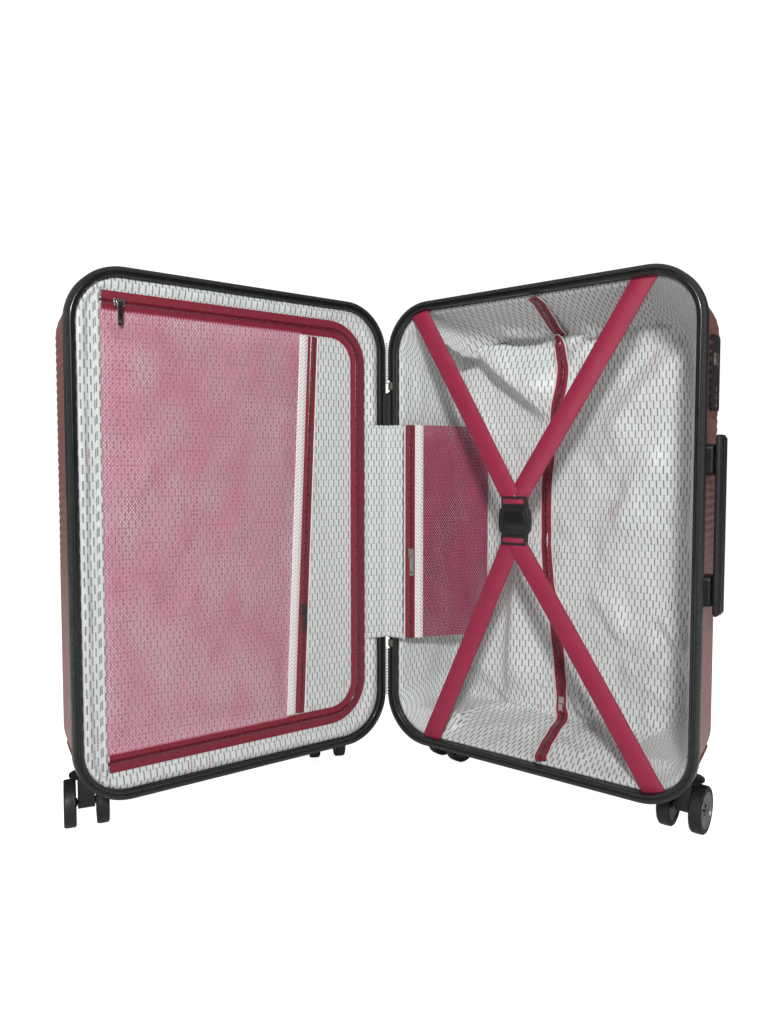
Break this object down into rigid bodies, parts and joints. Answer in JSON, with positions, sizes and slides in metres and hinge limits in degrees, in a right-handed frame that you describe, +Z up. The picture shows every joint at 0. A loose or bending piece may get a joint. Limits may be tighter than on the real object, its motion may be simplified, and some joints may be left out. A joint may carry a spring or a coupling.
{
  "type": "hard shell suitcase",
  "caption": "Hard-shell spinner suitcase standing open, with zipped divider, net pockets, crossed straps, lock, side handle and pull-out trolley.",
  "frame": {"origin": "the hinge axis of the two halves, at the floor", "axes": "+Z up along the hinge axis; +X along the opening of the back half, from hinge to handle side; +Y into the back half's depth"},
  "size_m": [0.7676, 0.6311, 0.7572],
  "materials": {
    "shell": "satin rose gold",
    "frame": "moulded rubber-like trim",
    "main_zip": "woven zip tape",
    "lining": "satin lining with printed dashes",
    "net": "knitted net",
    "red_zip": "burgundy zip tape",
    "binding": "twill binding",
    "webbing": "woven elastic strap",
    "black_plastic": "moulded",
    "tubes": "anodised",
    "metal": "plated die casting",
    "wheel": "moulded wheel with dished hub"
  },
  "bodies": {
    "back_half": {"back_shell": "shell", "back_frame": "frame", "back_zip_tape": "main_zip", "back_lining": "lining", "back_corner_guards": "shell", "back_caster_housings": "black_plastic", "trolley_sleeves": "tubes", "trolley_base": "black_plastic", "trolley_cup": "black_plastic", "side_handle_mounts": "black_plastic", "top_handle_mounts": "black_plastic", "lock_body": "black_plastic", "compression_straps": "webbing", "buckle_socket": "black_plastic", "buckle_plug": "black_plastic", "hinge_flap": "net", "flap_zip": "red_zip", "lining_zip": "red_zip", "hinge_strip": "main_zip", "main_sliders": "metal", "case_screws": "metal"},
    "front_half": {"front_shell": "shell", "front_frame": "frame", "front_zip_tape": "main_zip", "front_lining": "lining", "front_corner_guards": "shell", "front_caster_housings": "black_plastic", "flap_lid_edge": "lining", "divider_border": "lining"},
    "divider": {"divider_panel": "lining", "divider_net": "net", "pocket_zip": "red_zip", "pocket_binding": "binding", "divider_zip": "red_zip"},
    "trolley": {"trolley_tubes": "tubes", "trolley_grip": "black_plastic"},
    "trolley_button": {"trolley_button": "metal"},
    "side_handle": {"side_handle_grip": "black_plastic"},
    "top_handle": {"top_handle_grip": "black_plastic"},
    "lock_dial_1": {"lock_dial_1": "metal"},
    "lock_dial_2": {"lock_dial_2": "metal"},
    "lock_dial_3": {"lock_dial_3": "metal"},
    "lock_button": {"lock_button": "metal"},
    "lining_slider": {"lining_slider": "metal"},
    "lining_pull": {"lining_pull": "metal"},
    "flap_slider": {"flap_slider": "metal"},
    "flap_pull": {"flap_pull": "metal"},
    "pocket_slider": {"pocket_slider": "metal"},
    "pocket_pull": {"pocket_pull": "metal"},
    "divider_slider": {"divider_slider": "metal"},
    "divider_pull": {"divider_pull": "metal"},
    "fork_back_outer": {"fork_back_outer": "black_plastic"},
    "wheels_back_outer": {"wheels_back_outer": "wheel"},
    "fork_back_hinge": {"fork_back_hinge": "black_plastic"},
    "wheels_back_hinge": {"wheels_back_hinge": "wheel"},
    "fork_front_outer": {"fork_front_outer": "black_plastic"},
    "wheels_front_outer": {"wheels_front_outer": "wheel"},
    "fork_front_hinge": {"fork_front_hinge": "black_plastic"},
    "wheels_front_hinge": {"wheels_front_hinge": "wheel"}
  },
  "joints": [
    {"name": "lid_hinge", "type": "hinge", "parent": "back_half", "child": "front_half", "pos_m": [0, 0, 0.402], "axis": [0, 0, -1], "range_deg": [-105, 75]},
    {"name": "divider_hinge", "type": "hinge", "parent": "front_half", "child": "divider", "pos_m": [-0.12349, -0.43382, 0.403], "axis": [0, 0, -1], "range_deg": [0, 100]},
    {"name": "trolley_slide", "type": "slide", "parent": "back_half", "child": "trolley", "axis": [0, 0, 1], "range_m": [0, 0.33]},
    {"name": "trolley_button_press", "type": "slide", "parent": "trolley", "child": "trolley_button", "axis": [0, 0, -1], "range_m": [0, 0.003], "stiffness_N_per_m": 400},
    {"name": "side_handle_pull", "type": "slide", "parent": "back_half", "child": "side_handle", "axis": [1, 0, 0], "range_m": [0, 0.016], "stiffness_N_per_m": 150},
    {"name": "top_handle_pull", "type": "slide", "parent": "back_half", "child": "top_handle", "axis": [0, 0, 1], "range_m": [0, 0.016], "stiffness_N_per_m": 150},
    {"name": "dial_1_turn", "type": "hinge", "parent": "back_half", "child": "lock_dial_1", "pos_m": [0.4804, 0.067, 0.572], "axis": [0, 0, 1], "continuous": true},
    {"name": "dial_2_turn", "type": "hinge", "parent": "back_half", "child": "lock_dial_2", "pos_m": [0.4804, 0.067, 0.582], "axis": [0, 0, 1], "continuous": true},
    {"name": "dial_3_turn", "type": "hinge", "parent": "back_half", "child": "lock_dial_3", "pos_m": [0.4804, 0.067, 0.592], "axis": [0, 0, 1], "continuous": true},
    {"name": "lock_button_press", "type": "slide", "parent": "back_half", "child": "lock_button", "axis": [-1, 0, 0], "range_m": [0, 0.003], "stiffness_N_per_m": 400},
    {"name": "lining_slider_run", "type": "slide", "parent": "back_half", "child": "lining_slider", "axis": [0, 0, 1], "range_m": [0, 0.53]},
    {"name": "lining_pull_flip", "type": "hinge", "parent": "lining_slider", "child": "lining_pull", "pos_m": [0.2475, 0.127, 0.121], "axis": [-1, 0, 0], "range_deg": [0, 150]},
    {"name": "flap_slider_run", "type": "slide", "parent": "back_half", "child": "flap_slider", "axis": [0, 0, 1], "range_m": [-0.125, 0.19]},
    {"name": "flap_pull_flip", "type": "hinge", "parent": "flap_slider", "child": "flap_pull", "pos_m": [0.04349, 0.00852, 0.351], "axis": [-0.5414, -0.8408, 0], "range_deg": [0, 150]},
    {"name": "pocket_slider_run", "type": "slide", "parent": "divider", "child": "pocket_slider", "axis": [0.0119, 0.0443, 0.9989], "range_m": [-0.14, 0.395]},
    {"name": "pocket_pull_flip", "type": "hinge", "parent": "pocket_slider", "child": "pocket_pull", "pos_m": [-0.04111, -0.1484, 0.27284], "axis": [-0.2585, -0.9649, 0.0459], "range_deg": [0, 150]},
    {"name": "divider_slider_run", "type": "slide", "parent": "divider", "child": "divider_slider", "axis": [0.2588, 0.9659, 0], "range_m": [0, 0.31]},
    {"name": "divider_pull_swing", "type": "hinge", "parent": "divider_slider", "child": "divider_pull", "pos_m": [-0.11125, -0.41018, 0.702], "axis": [-0.9659, 0.2588, 0], "range_deg": [-90, 90]},
    {"name": "swivel_back_outer", "type": "hinge", "parent": "back_half", "child": "fork_back_outer", "pos_m": [0.455, 0.09, 0.077], "axis": [0, 0, 1], "continuous": true},
    {"name": "spin_back_outer", "type": "hinge", "parent": "fork_back_outer", "child": "wheels_back_outer", "pos_m": [0.45521, 0.078, 0.032], "axis": [0.9998, 0.0175, 0], "continuous": true},
    {"name": "swivel_back_hinge", "type": "hinge", "parent": "back_half", "child": "fork_back_hinge", "pos_m": [0.059, 0.09, 0.077], "axis": [0, 0, 1], "continuous": true},
    {"name": "spin_back_hinge", "type": "hinge", "parent": "fork_back_hinge", "child": "wheels_back_hinge", "pos_m": [0.06108, 0.10182, 0.032], "axis": [-0.9848, 0.1736, 0], "continuous": true},
    {"name": "swivel_front_outer", "type": "hinge", "parent": "front_half", "child": "fork_front_outer", "pos_m": [-0.2047, -0.4162, 0.077], "axis": [0, 0, 1], "continuous": true},
    {"name": "spin_front_outer", "type": "hinge", "parent": "fork_front_outer", "child": "wheels_front_outer", "pos_m": [-0.1942, -0.42202, 0.032], "axis": [-0.4848, -0.8746, 0], "continuous": true},
    {"name": "swivel_front_hinge", "type": "hinge", "parent": "front_half", "child": "fork_front_hinge", "pos_m": [-0.1022, -0.0337, 0.077], "axis": [0, 0, 1], "continuous": true},
    {"name": "spin_front_hinge", "type": "hinge", "parent": "fork_front_hinge", "child": "wheels_front_hinge", "pos_m": [-0.1114, -0.02598, 0.032], "axis": [0.6428, 0.766, 0], "continuous": true}
  ]
}
